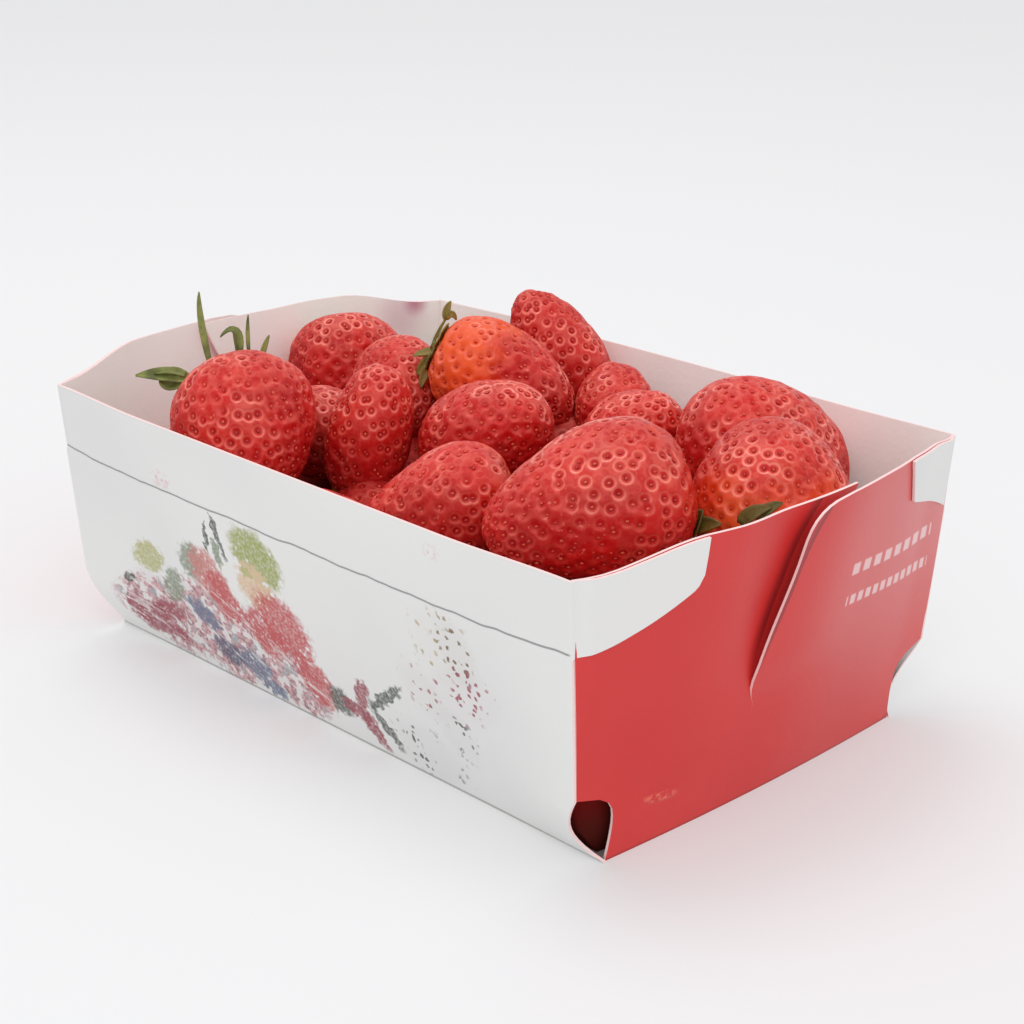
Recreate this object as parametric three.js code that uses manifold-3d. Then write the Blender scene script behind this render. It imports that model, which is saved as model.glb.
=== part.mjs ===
// A punnet of strawberries: a paperboard tray folded from one blank, and the heap of berries in it.
//
// Millimetres, +Z up, the origin in the middle of the underside. The tray's length runs along X and
// its width along Y. Each end wall is cut down its middle and its two flaps lap, which makes the end
// bulge; a lobe of each long wall wraps round the corner and is glued on the outside of the end.
// Everything is worked out about the middle of the base, which lies half the far wall's extra bow
// nearer than the middle of the whole.

import * as THREE from 'three';
import { mergeVertices } from 'three/addons/utils/BufferGeometryUtils.js';
import Module from 'manifold-3d';

const wasm = await Module();
wasm.setup();

// Tray: the four corners, at the base and at the rim
const BASE_LENGTH = 164;
const BASE_WIDTH = 96;
const RIM_LENGTH = 168;
const RIM_WIDTH = 124;
const RIM_HEIGHT = 64.4;
const BOARD = 0.6;

// Long walls: they round out of the base and belly out in the middle
const BELLY = 15.4;
const BELLY_POWER = 1.35;
const BELLY_FADE_FROM = 51;
const CORNER_FLARE = 9.8;
const CORNER_FLARE_TOP = 0.26;
const FAR_BOW = 1.9;

// End walls: the bulge, the raised top edge, and the two lapping flaps
const BASE_BOW = 1.4;
const END_BULGE = 10.5;
const END_RISE = 4.2;
const END_RISE_FROM = 58;
const END_RISE_TO = 33;
const SLIT_FOOT = 24;
const SLIT_Y = -7;
const SLIT_LEAN = 6;
const SLIT_HOOK = 2.5;
const OUTER_FLAP_SHOULDER = 55;
const OUTER_FLAP_ROUND = 14;
const OUTER_FLAP_PROUD = 1.3;
const INNER_FLAP_TUCK = 2;
const INNER_FLAP_REACH = 17;

// Leaf-shaped openings at the foot of each corner
const NOTCH_HEIGHT = 17.2;
const NOTCH_IN_LONG_WALL = 3.5;

// Lobes, from the corner along the end wall
const LOBE_LONG = 28.5;
const LOBE_SHORT = 25;
const LOBE_SHORT_SLANT = 5;
const LOBE_FOOT = 48.5;
const LOBE_BELOW_EDGE = 0.5;

// Berries: gap to the board, and how fine the solids are
const GAP = 0.4;
const SHOULDER = 0.85;
const BERRY_SIDES = 13;
const BERRY_RINGS = 8;
const FILL_TOP = 46;
const HEADROOM = 95;

// The tallest leaf of a berry's green cap, from the berry to its tip
const LEAF_FOOT = [-58, -33.5, 66];
const LEAF_TIP = [-66, -33, 86];
const LEAF_WIDTH = 4;

const { clamp, lerp, smoothstep, degToRad } = THREE.MathUtils;
const smooth = (x, from, to) => smoothstep(x, Math.min(from, to), Math.max(from, to));

// ---- the shape of the tray ----

const rise = (z) => clamp(z / RIM_HEIGHT, 0, 1);

const cornerX = (z) => lerp(BASE_LENGTH, RIM_LENGTH, rise(z)) / 2;

function cornerY(z) {
  const t = rise(z);
  const flare = Math.sin((Math.PI / 2) * Math.min(t / CORNER_FLARE_TOP, 1));
  const above = clamp((t - CORNER_FLARE_TOP) / (1 - CORNER_FLARE_TOP), 0, 1);
  const straight = (RIM_WIDTH - BASE_WIDTH) / 2 - CORNER_FLARE;
  return BASE_WIDTH / 2 + CORNER_FLARE * flare + straight * above;
}

// Outer face of a long wall, as a distance from the middle
function longWallY(x, z, bow) {
  const t = rise(z);
  const middle = BASE_WIDTH / 2 + BELLY * (1 - (1 - t) ** BELLY_POWER);
  const fade = smooth(Math.abs(x), BELLY_FADE_FROM, BASE_LENGTH / 2);
  const bowed = bow * t * Math.max(0, 1 - (2 * x / RIM_LENGTH) ** 2);
  return lerp(middle, cornerY(z), fade) + bowed;
}

// Outer face of an end wall, as a distance from the middle
function endWallX(y, z) {
  const base = BASE_BOW * Math.max(0, 1 - (2 * y / BASE_WIDTH) ** 2);
  const bulge = END_BULGE * Math.max(0, 1 - (2 * y / RIM_WIDTH) ** 2) ** 0.9;
  return cornerX(z) + base + bulge * (z / RIM_HEIGHT);
}

const endRise = (y) => END_RISE * (1 - smooth(Math.abs(y), END_RISE_TO, END_RISE_FROM));

// A level on an end wall, which rises with the top edge
const endLevel = (y, level) => level + endRise(y) * rise(level) ** 2;

// How far the inner flap is pushed in, and the outer flap stands out, beside the slit
const tuck = (y, z) => INNER_FLAP_TUCK * smooth(z, SLIT_FOOT, 50) * smooth(y, -26, -9);
const proud = (y, z) => OUTER_FLAP_PROUD * smooth(z, SLIT_FOOT, 36) * (1 - smooth(y, SLIT_Y, 24));

// The side edge of an end wall: the corner, drawn in beside the notch
function endSideY(z) {
  if (z >= NOTCH_HEIGHT) return cornerY(z);
  const up = z / NOTCH_HEIGHT;
  const hollow = 0.8 * Math.sin(Math.PI * up);
  return BASE_WIDTH / 2 - hollow + (cornerY(NOTCH_HEIGHT) - BASE_WIDTH / 2) * up ** 9;
}

// The end of a long wall, drawn in beside the notch
function longWallEndX(z) {
  const end = cornerX(z) + BOARD;
  if (z >= NOTCH_HEIGHT) return end;
  return end - NOTCH_IN_LONG_WALL * Math.sin(Math.PI * (z / NOTCH_HEIGHT) ** 0.7);
}

// The slit leans, and curls over at its foot
function slitY(z) {
  const hook = SLIT_HOOK * clamp((31 - z) / (31 - SLIT_FOOT), 0, 1) ** 2;
  return SLIT_Y - SLIT_LEAN * (1 - smooth(z, 30, 60)) + hook;
}

function outerFlapEdge(z) {
  const up = clamp((z - OUTER_FLAP_SHOULDER) / (RIM_HEIGHT - OUTER_FLAP_SHOULDER), 0, 1);
  return slitY(z) + OUTER_FLAP_ROUND * (1 - Math.cbrt(1 - up ** 3));
}

const innerFlapEdge = (z) =>
  slitY(z) + 2 + INNER_FLAP_REACH * clamp((z - SLIT_FOOT) / (RIM_HEIGHT - SLIT_FOOT), 0, 1);

// The end wall stands a little higher beside one far corner
function cornerLift(x, y, z) {
  const nearCorner = smooth(x, 50, RIM_LENGTH / 2) * rise(z) ** 3;
  return nearCorner * (0.9 * smooth(y, 36, 60) + 1.3 * Math.exp(-(((y - 50) / 9) ** 2)));
}

// ---- building closed meshes ----

function closedGeometry(points, faces) {
  const geometry = new THREE.BufferGeometry();
  geometry.setAttribute('position', new THREE.Float32BufferAttribute(points.flat(), 3));
  geometry.setIndex(faces.flat());
  return mergeVertices(geometry, 1e-4);
}

function toSolid(geometry) {
  const vertProperties = new Float32Array(geometry.attributes.position.array);
  const triVerts = new Uint32Array(geometry.index.array);
  return new wasm.Manifold(new wasm.Mesh({ numProp: 3, vertProperties, triVerts }));
}

function toGeometry(solid) {
  const mesh = solid.getMesh();
  const points = [];
  for (let i = 0; i < mesh.vertProperties.length; i += mesh.numProp) {
    points.push(Array.from(mesh.vertProperties.subarray(i, i + 3)));
  }
  return closedGeometry(points, [Array.from(mesh.triVerts)]);
}

const union = (solids) => solids.reduce((all, solid) => all.add(solid));

// A sheet of board: place(u, v, inner) gives a point of its outer or its inner face
function sheet(columns, rows, place) {
  const points = [];
  for (const inner of [0, 1]) {
    for (let j = 0; j <= rows; j += 1) {
      for (let i = 0; i <= columns; i += 1) points.push(place(i / columns, j / rows, inner));
    }
  }
  const at = (i, j, inner) => (inner * (rows + 1) + j) * (columns + 1) + i;
  const faces = [];
  const quad = (a, b, c, d) => faces.push([a, b, c], [a, c, d]);
  for (let j = 0; j < rows; j += 1) {
    for (let i = 0; i < columns; i += 1) {
      quad(at(i, j, 0), at(i + 1, j, 0), at(i + 1, j + 1, 0), at(i, j + 1, 0));
      quad(at(i, j, 1), at(i, j + 1, 1), at(i + 1, j + 1, 1), at(i + 1, j, 1));
    }
  }
  for (let i = 0; i < columns; i += 1) {
    quad(at(i, 0, 0), at(i, 0, 1), at(i + 1, 0, 1), at(i + 1, 0, 0));
    quad(at(i, rows, 0), at(i + 1, rows, 0), at(i + 1, rows, 1), at(i, rows, 1));
  }
  for (let j = 0; j < rows; j += 1) {
    quad(at(0, j, 0), at(0, j + 1, 0), at(0, j + 1, 1), at(0, j, 1));
    quad(at(columns, j, 0), at(columns, j, 1), at(columns, j + 1, 1), at(columns, j + 1, 0));
  }
  return toSolid(closedGeometry(points, faces));
}

// A solid through closed outlines, one above the other, with a point in the middle of each end
function loft(outlines, bottomZ, topZ) {
  const count = outlines[0].length;
  const points = [...outlines.flat(), [0, 0, bottomZ], [0, 0, topZ]];
  const top = (outlines.length - 1) * count;
  const faces = [];
  for (let i = 0; i < count; i += 1) {
    const next = (i + 1) % count;
    for (let j = 0; j < outlines.length - 1; j += 1) {
      const low = j * count;
      const high = low + count;
      faces.push([low + i, low + next, high + next], [low + i, high + next, high + i]);
    }
    faces.push([next, i, points.length - 2], [top + i, top + next, points.length - 1]);
  }
  return toSolid(closedGeometry(points, faces));
}

// ---- the tray ----

function longWall(bow) {
  return sheet(16, 9, (u, v, inner) => {
    const z = RIM_HEIGHT * v ** 1.3;
    const x = longWallEndX(z) * (2 * u - 1);
    return [x, BOARD * inner - longWallY(x, z, bow), z];
  });
}

// Heights of the rows of an end flap, closest beside the notch and at the top
const FLAP_LEVELS = [
  0, 4, 8, 12, 14.5, 16.2, 17.2, 24, 27, 31, 38, 46, 54, 58.5, 62, 63.8, 64.4,
];

function endFlap(columns, leftEdge, rightEdge, outward) {
  const rows = FLAP_LEVELS.length - 1;
  return sheet(columns, rows, (u, v, inner) => {
    const level = FLAP_LEVELS[Math.round(v * rows)];
    const y = lerp(leftEdge(level), rightEdge(level), u);
    const z = endLevel(y, level);
    return [endWallX(y, z) + outward(y, z) - BOARD * inner, y, z];
  });
}

function endWall() {
  const seam = 0.05;
  const left = (z) => 0.35 - endSideY(z);
  const right = (z) => endSideY(z) - 0.35;
  const innerFlap = endFlap(6, left, innerFlapEdge, (y, z) => -tuck(y, z));
  const outerFlap = endFlap(7, outerFlapEdge, right, (y, z) => seam + proud(y, z));
  return innerFlap.add(outerFlap);
}

// A lobe lies on the outside of an end wall. along and up run from 0 to 1; side is -1 or +1 in Y
function lobe(side, length, slant, foot) {
  const bedded = 0.3;
  return sheet(8, 2, (u, v, inner) => {
    const along = side < 0 ? u : 1 - u;
    const top = (y) => endLevel(y, RIM_HEIGHT) - LOBE_BELOW_EDGE * smooth(along, 0, 1);
    const y = side * (cornerY(RIM_HEIGHT) - 0.05 - (length + slant * v) * along);
    const level = lerp(foot(along), top(y), v);
    const leaning = y + side * (cornerY(level) - cornerY(RIM_HEIGHT)) * (1 - along);
    return [endWallX(leaning, level) + BOARD - (BOARD + bedded) * inner, leaning, level];
  });
}

// The long lobe narrows in a sweep to a blunt end; the short one is cut off straight
const longLobeFoot = (along) => LOBE_FOOT + 10 * along ** 1.8 + 2 * smooth(along, 0.9, 1);
const shortLobeFoot = (along) => LOBE_FOOT + 9 * along;

function floorPlate() {
  const steps = 8;
  const bed = BOARD / 2;
  const outline = (z) => {
    const half = Array.from({ length: steps + 1 }, (_, i) => {
      const y = (BASE_WIDTH / 2 - bed) * (2 * i / steps - 1);
      return [endWallX(y, 0) - bed, y, z];
    });
    return [...half, ...half.map(([x, y]) => [-x, -y, z])];
  };
  return loft([outline(0), outline(BOARD)], 0, BOARD);
}

function trayHalf(bow) {
  return [
    longWall(bow),
    endWall(),
    lobe(-1, LOBE_LONG, 0, longLobeFoot),
    lobe(1, LOBE_SHORT, LOBE_SHORT_SLANT, shortLobeFoot),
  ];
}

// The blank is the same turned half round, but for the bow of the far wall
function tray() {
  const near = union(trayHalf(0));
  const far = union(trayHalf(FAR_BOW)).rotate([0, 0, 180]);
  return near.add(far).add(floorPlate());
}

function lifted(geometry) {
  const points = geometry.attributes.position;
  for (let i = 0; i < points.count; i += 1) {
    const [x, y, z] = [points.getX(i), points.getY(i), points.getZ(i)];
    points.setZ(i, z + cornerLift(x, y, z));
  }
  return geometry;
}

// ---- the berries ----

// Each berry of the top layer: its middle, length and width, the way its tip points (degrees round
// from +X, and up), and how much it narrows towards the tip
const BERRIES = [
  { at: [-42.5, -37.5, 57.5], length: 35, width: 33, aim: [-24, -31], taper: 0.36 },
  { at: [-74.5, 20, 53], length: 30.5, width: 29, aim: [-29, -40], taper: 0.4 },
  { at: [-29, -12, 54.5], length: 34.5, width: 21, aim: [55, 77], taper: 0.07 },
  { at: [-22, 25.5, 61.5], length: 38, width: 27, aim: [35, -25], taper: 0.26 },
  { at: [-26, 50, 63], length: 37, width: 21.5, aim: [211, 56], taper: 0.17 },
  { at: [-7, 5, 56], length: 34, width: 26, aim: [23, 26], taper: 0.05 },
  { at: [16, -30.5, 52.5], length: 34.5, width: 25.5, aim: [227, -18], taper: 0.39 },
  { at: [50, -21, 59.5], length: 45.5, width: 33, aim: [241, -13], taper: 0.42 },
  { at: [-1.5, 43.5, 56.5], length: 23.5, width: 19.5, aim: [128, 33], taper: 0.15 },
  { at: [19, 30.5, 56.5], length: 25.5, width: 24, aim: [2, 36], taper: 0.29 },
  { at: [48, 39, 56.5], length: 44, width: 36, aim: [254, 36], taper: 0.05 },
  { at: [70.5, 14, 59.5], length: 32.5, width: 33.5, aim: [132, 60], taper: 0.19 },
  { at: [-48, 15, 55.5], length: 29, width: 22.5, aim: [-32, -31], taper: 0.29 },
  { at: [-50, -7, 48.5], length: 28, width: 24, aim: [90, -23], taper: 0.19 },
];

// The berries underneath, which fill the gaps between those on top
const LOWER_BERRIES = [
  { at: [-70, -28, 34], length: 30, width: 27, aim: [80, 10], taper: 0.25 },
  { at: [-75, -1, 32], length: 28, width: 24, aim: [-80, 15], taper: 0.25 },
  { at: [-62, 43, 39], length: 31, width: 26, aim: [-40, -10], taper: 0.25 },
  { at: [-34, 44, 37], length: 30, width: 27, aim: [-15, 10], taper: 0.2 },
  { at: [-14, -40, 38], length: 31, width: 27, aim: [20, 15], taper: 0.3 },
  { at: [2, -14, 36], length: 29, width: 25, aim: [120, -5], taper: 0.25 },
  { at: [28, 3, 42], length: 32, width: 28, aim: [-70, 20], taper: 0.25 },
  { at: [14, 46, 36], length: 28, width: 24, aim: [10, 5], taper: 0.25 },
  { at: [68, 40, 36], length: 30, width: 26, aim: [-120, 15], taper: 0.25 },
  { at: [74, -8, 34], length: 28, width: 25, aim: [100, -15], taper: 0.25 },
  { at: [68, -42, 33], length: 30, width: 27, aim: [190, 10], taper: 0.25 },
  { at: [38, -44, 33], length: 29, width: 25, aim: [170, 5], taper: 0.25 },
  { at: [-42, -41, 30], length: 28, width: 25, aim: [-10, 0], taper: 0.25 },
];

// A berry is turned about its axis, narrower towards the tip
function berry({ at, length, width, aim, taper }) {
  const profile = Array.from({ length: BERRY_RINGS + 1 }, (_, i) => {
    const turn = (Math.PI * i) / BERRY_RINGS;
    const along = -Math.cos(turn) / 2;
    const radius = (width / 2) * Math.sin(turn) ** SHOULDER * (1 - taper * along * 1.6);
    const onAxis = i === 0 || i === BERRY_RINGS;
    return new THREE.Vector2(onAxis ? 0 : radius, length * along);
  });
  const geometry = new THREE.LatheGeometry(profile, BERRY_SIDES);
  geometry.deleteAttribute('normal');
  geometry.deleteAttribute('uv');
  const [round, up] = aim.map(degToRad);
  const tip = new THREE.Vector3(
    Math.cos(up) * Math.cos(round), Math.cos(up) * Math.sin(round), Math.sin(up));
  const turned = new THREE.Quaternion().setFromUnitVectors(new THREE.Vector3(0, 1, 0), tip);
  geometry.applyQuaternion(turned).translate(...at);
  return toSolid(mergeVertices(geometry, 1e-4));
}

// The room inside the tray: its outline at a level, drawn in by a gap
function roomOutline(z, gap) {
  const inset = BOARD + gap;
  const half = (bow) => {
    const wall = Array.from({ length: 13 }, (_, i) => {
      const x = (cornerX(z) - inset) * (i / 6 - 1);
      return [x, inset - longWallY(x, z, bow), z];
    });
    const end = Array.from({ length: 7 }, (_, i) => {
      const y = (cornerY(z) - inset) * ((i + 1) / 4 - 1);
      return [endWallX(y, Math.min(z, RIM_HEIGHT)) - inset - tuck(y, z), y, z];
    });
    return [...wall, ...end];
  };
  return [...half(0), ...half(FAR_BOW).map(([x, y]) => [-x, -y, z])];
}

function room(gap, topZ) {
  const bottomZ = BOARD + gap;
  const levels = [bottomZ, 6, 12, 18, 30, FILL_TOP, RIM_HEIGHT, HEADROOM];
  const outlines = levels.filter((z) => z <= topZ).map((z) => roomOutline(z, gap));
  return loft(outlines, bottomZ, topZ);
}

function tallLeaf() {
  const foot = new THREE.Vector3(...LEAF_FOOT);
  const tip = new THREE.Vector3(...LEAF_TIP);
  const leaf = new THREE.ConeGeometry(LEAF_WIDTH / 2, foot.distanceTo(tip), 6);
  leaf.deleteAttribute('normal');
  leaf.deleteAttribute('uv');
  const direction = tip.clone().sub(foot).normalize();
  leaf.applyQuaternion(new THREE.Quaternion().setFromUnitVectors(new THREE.Vector3(0, 1, 0), direction));
  leaf.translate(...foot.add(tip).multiplyScalar(0.5).toArray());
  return toSolid(mergeVertices(leaf, 1e-4));
}

// The bottom layer is one filling, up to the middles of the berries above it
function heap() {
  const filling = room(GAP + 0.6, FILL_TOP);
  const berries = [...LOWER_BERRIES, ...BERRIES].map(berry);
  return union([filling, ...berries, tallLeaf()]).intersect(room(GAP, HEADROOM));
}

// ---- the part ----

function part(name, geometry, colour, roughness) {
  const material = new THREE.MeshStandardMaterial({ color: colour, roughness, metalness: 0 });
  const mesh = new THREE.Mesh(geometry, material);
  mesh.name = name;
  mesh.position.y = -FAR_BOW / 2;
  return mesh;
}

const punnet = new THREE.Group();
punnet.name = 'punnet_of_strawberries';
punnet.add(part('tray', lifted(toGeometry(tray())), 0xe4e3e1, 0.55));
punnet.add(part('berries', toGeometry(heap()), 0xc8342c, 0.35));

export default punnet;
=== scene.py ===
"""A punnet of strawberries: a tray folded from printed paperboard, heaped with ripe berries.

Sizes are in millimetres, about the middle of the tray's base, until a piece is finished:
in_metres() then gives it its place. The tray's length runs along X and its width along Y.
"""
import math

import bmesh
import bpy
import numpy as np
from mathutils import Matrix, Vector


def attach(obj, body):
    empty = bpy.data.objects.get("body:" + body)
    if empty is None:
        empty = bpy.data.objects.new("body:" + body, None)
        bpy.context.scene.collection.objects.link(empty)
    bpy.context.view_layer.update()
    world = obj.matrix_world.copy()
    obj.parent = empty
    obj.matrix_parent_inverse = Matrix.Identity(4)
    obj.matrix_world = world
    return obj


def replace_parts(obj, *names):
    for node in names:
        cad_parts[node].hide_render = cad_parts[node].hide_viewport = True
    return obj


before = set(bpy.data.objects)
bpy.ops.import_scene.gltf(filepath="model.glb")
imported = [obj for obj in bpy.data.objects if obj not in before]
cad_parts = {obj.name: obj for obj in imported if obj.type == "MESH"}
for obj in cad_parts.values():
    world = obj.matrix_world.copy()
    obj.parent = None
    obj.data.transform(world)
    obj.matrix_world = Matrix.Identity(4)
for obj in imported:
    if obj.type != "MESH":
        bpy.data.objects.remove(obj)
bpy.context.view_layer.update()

MM = 0.001

# Tray: its corners, and the middles of its walls
BASE_LENGTH = 164
BASE_WIDTH = 96
RIM_LENGTH = 168
RIM_WIDTH = 124
RIM_HEIGHT = 64.4
BOARD = 0.6
FOLD_ROUND = 0.7
BELLY = 15.4
BELLY_POWER = 1.35
BELLY_FADE_FROM = 51
CORNER_FLARE = 9.8
CORNER_FLARE_TOP = 0.26
FAR_BOW = 1.9
BASE_BOW = 1.4
END_BULGE = 10.5
END_RISE = 4.2
END_RISE_FROM = 58
END_RISE_TO = 33

# End flaps, corner notches and glued lobes
SLIT_FOOT = 24
SLIT_Y = -7
SLIT_LEAN = 6
SLIT_HOOK = 2.5
OUTER_FLAP_SHOULDER = 55
OUTER_FLAP_ROUND = 14
OUTER_FLAP_PROUD = 1.3
INNER_FLAP_TUCK = 2
INNER_FLAP_REACH = 17
NOTCH_HEIGHT = 17.2
NOTCH_IN_LONG_WALL = 3.5
LOBE_FOOT = 48.5
LOBE_LONG = 28.5
LOBE_SHORT = 25
LOBE_SHORT_SLANT = 5
LOBE_BELOW_EDGE = 0.25
PRINT_SPAN = 200

# Berries
GAP = 0.4
SHOULDER = 0.85
BERRY_DETAIL = 62
SMALL_BERRY_WIDTH = 26
SMALL_BERRY_DETAIL = 48
LOWER_BERRY_DETAIL = 22
SEED_HALF_SIZE = (0.5, 0.36, 0.26)
GOLDEN_TURN = math.pi * (3 - math.sqrt(5))
LEAF_THICKNESS = 0.3


# ---- node trees as expressions ----

def find_socket(sockets, name):
    if isinstance(name, int):
        return sockets[name]
    return next(socket for socket in sockets if socket.name == name and socket.enabled)


def worked_by(operation, reflected=False):
    """An operator of Link; reflected is the one for a number on the left, as in 1 - mask."""
    if reflected:
        return lambda link, other: link.tree.sum(operation, other, link)
    return lambda link, other: link.tree.sum(operation, link, other)


class Link:
    """A node's output. Arithmetic on it adds the Math or Vector Math node that works it out."""

    __add__, __radd__ = worked_by("ADD"), worked_by("ADD", reflected=True)
    __sub__, __rsub__ = worked_by("SUBTRACT"), worked_by("SUBTRACT", reflected=True)
    __mul__, __rmul__ = worked_by("MULTIPLY"), worked_by("MULTIPLY", reflected=True)
    __truediv__, __rtruediv__ = worked_by("DIVIDE"), worked_by("DIVIDE", reflected=True)
    __pow__ = worked_by("POWER")

    def __init__(self, tree, socket):
        self.tree = tree
        self.socket = socket

    @property
    def is_vector(self):
        return self.socket.type in ("VECTOR", "RGBA")

    def __neg__(self):
        return self.tree.sum("MULTIPLY", self, -1)

    def apply(self, operation, *others):
        return self.tree.maths(operation, self, *others)

    def between(self, low, high):
        """0 at low and 1 at high, with an easy slope from one to the other."""
        return self.tree.node(
            "ShaderNodeMapRange", {"interpolation_type": "SMOOTHSTEP"},
            {"Value": self, "From Min": low, "From Max": high})["Result"]

    def length(self):
        return self.tree.vectors("LENGTH", self, result="Value")

    def parts(self):
        split = self.tree.node("ShaderNodeSeparateXYZ", {}, {"Vector": self})
        return split["X"], split["Y"], split["Z"]


class Node:
    """A node that was added; its outputs are looked up by name or number."""

    def __init__(self, tree, node):
        self.tree = tree
        self.node = node

    def __getitem__(self, name):
        return Link(self.tree, find_socket(self.node.outputs, name))


class Tree:
    """A shader tree or a Geometry Nodes tree that nodes are added to."""

    def __init__(self, group):
        self.group = group

    def node(self, kind, settings=None, values=None):
        made = self.group.nodes.new(kind)
        for name, value in (settings or {}).items():
            setattr(made, name, value)
        for name, value in (values or {}).items():
            socket = find_socket(made.inputs, name)
            for each in value if isinstance(value, list) else [value]:
                if isinstance(each, Link):
                    self.group.links.new(each.socket, socket)
                else:
                    socket.default_value = each
        return Node(self, made)

    def maths(self, operation, *values):
        return self.node("ShaderNodeMath", {"operation": operation}, dict(enumerate(values)))[0]

    def vectors(self, operation, *values, result="Vector"):
        settings = {"operation": operation}
        return self.node("ShaderNodeVectorMath", settings, dict(enumerate(values)))[result]

    def sum(self, operation, first, second):
        vectors = [isinstance(v, Link) and v.is_vector or isinstance(v, tuple) for v in (first, second)]
        if not any(vectors):
            return self.maths(operation, first, second)
        if all(vectors):
            return self.vectors(operation, first, second)
        if operation == "DIVIDE":
            second = 1 / second
        return self.node("ShaderNodeVectorMath", {"operation": "SCALE"},
                         {"Vector": first, "Scale": second})["Vector"]

    def vector(self, x, y, z):
        return self.node("ShaderNodeCombineXYZ", {}, {"X": x, "Y": y, "Z": z})["Vector"]

    def mix(self, first, second, amount):
        return self.node("ShaderNodeMix", {"data_type": "RGBA"},
                         {"Factor": amount, "A": first, "B": second})["Result"]

    def noise(self, where, scale, detail=2.0, turn=0.0):
        return self.node("ShaderNodeTexNoise", {"noise_dimensions": "4D"},
                         {"Vector": where, "W": turn, "Scale": scale, "Detail": detail})["Fac"]


def srgb(red, green, blue):
    """A colour as a shader takes it, from the three values of a paint chart."""
    values = [v / 255 for v in (red, green, blue)]
    return tuple(v / 12.92 if v <= 0.04045 else ((v + 0.055) / 1.055) ** 2.4 for v in values) + (1.0,)


# ---- finishes ----

def finish(name, look):
    """A material; look(tree) gives the values of its Principled shader's sockets."""
    made = bpy.data.materials.new(name)
    made.use_nodes = True
    made.node_tree.nodes.clear()
    tree = Tree(made.node_tree)
    shader = tree.node("ShaderNodeBsdfPrincipled", {}, look(tree))
    tree.node("ShaderNodeOutputMaterial", {}, {"Surface": shader["BSDF"]})
    return made


def object_place(tree):
    """The place on a finished piece, in metres."""
    return tree.node("ShaderNodeTexCoord")["Object"]


def relief(tree, height, depth):
    return tree.node("ShaderNodeBump", {}, {"Height": height, "Distance": depth})["Normal"]


def print_place(tree):
    """Millimetres across and up a panel, from the middle of its foot."""
    place = tree.node("ShaderNodeUVMap", {"uv_map": "print"})["UV"]
    across, up, _ = place.parts()
    return across * PRINT_SPAN - PRINT_SPAN / 2, up * PRINT_SPAN


def patch(tree, place, at, size, turn=0, edge=0.12):
    """1 inside an oval of the print and 0 outside it."""
    local = tree.node(
        "ShaderNodeMapping", {"vector_type": "TEXTURE"},
        {"Vector": place, "Location": (*at, 0), "Rotation": (0, 0, math.radians(turn)),
         "Scale": (size[0] / 2, size[1] / 2, 1)})["Vector"]
    return 1 - local.length().between(1 - edge, 1 + edge)


LIME = srgb(150, 158, 74)
PALE_LEAF = srgb(178, 176, 118)
DARK_LEAF = srgb(76, 84, 76)
GREY_LEAF = srgb(132, 142, 122)
FRUIT_RED = srgb(190, 72, 74)
FRUIT_PALE = srgb(196, 118, 112)
FRUIT_DARK = srgb(150, 62, 76)
FRUIT_BLUE = srgb(96, 110, 136)
NIGHT_BLUE = srgb(74, 78, 104)
CREAM = srgb(216, 186, 152)

# The printed heap of fruit: colour, middle, size, turn
PRINTED_FRUIT = [
    (PALE_LEAF, (-58, 27), (12, 8), 20),
    (GREY_LEAF, (-51, 21), (12, 7), 60),
    (DARK_LEAF, (-67, 19), (3.4, 3), 0),
    (FRUIT_DARK, (-57, 12), (15, 6), 15),
    (FRUIT_DARK, (-60, 6), (18, 5), 0),
    (FRUIT_DARK, (-67, 10), (7, 8), 30),
    (GREY_LEAF, (-40, 31), (12, 9), 50),
    (DARK_LEAF, (-31, 40), (10, 1.6), 75),
    (DARK_LEAF, (-26, 41), (13, 1.8), 100),
    (GREY_LEAF, (-28, 37), (9, 3), 90),
    (LIME, (-13, 40), (18, 14), -20),
    (FRUIT_PALE, (-34, 29), (15, 13), -50),
    (FRUIT_RED, (-30, 24), (15, 11), -50),
    (CREAM, (-16, 32), (13, 13), 20),
    (PALE_LEAF, (-18, 35), (4, 3), 40),
    (FRUIT_RED, (-9, 24), (20, 15), -25),
    (FRUIT_RED, (-17, 19), (15, 11), -20),
    (FRUIT_RED, (-2, 12), (15, 11), -50),
    (FRUIT_BLUE, (-41, 16), (12, 7), -20),
    (NIGHT_BLUE, (-35, 8), (12, 7), -10),
    (FRUIT_BLUE, (-25, 8), (12, 8), 0),
    (FRUIT_BLUE, (-20, 3), (10, 4), 0),
    (DARK_LEAF, (6, 9.5), (8, 8), 30),
    (FRUIT_DARK, (12, 9), (12, 5), -10),
    (FRUIT_DARK, (15, 15), (4.4, 9), -20),
    (DARK_LEAF, (23, 17), (17, 3.4), 38),
    (FRUIT_DARK, (16, 5.5), (4, 11), 40),
    (DARK_LEAF, (21, 8), (12, 3), -50),
]


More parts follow.
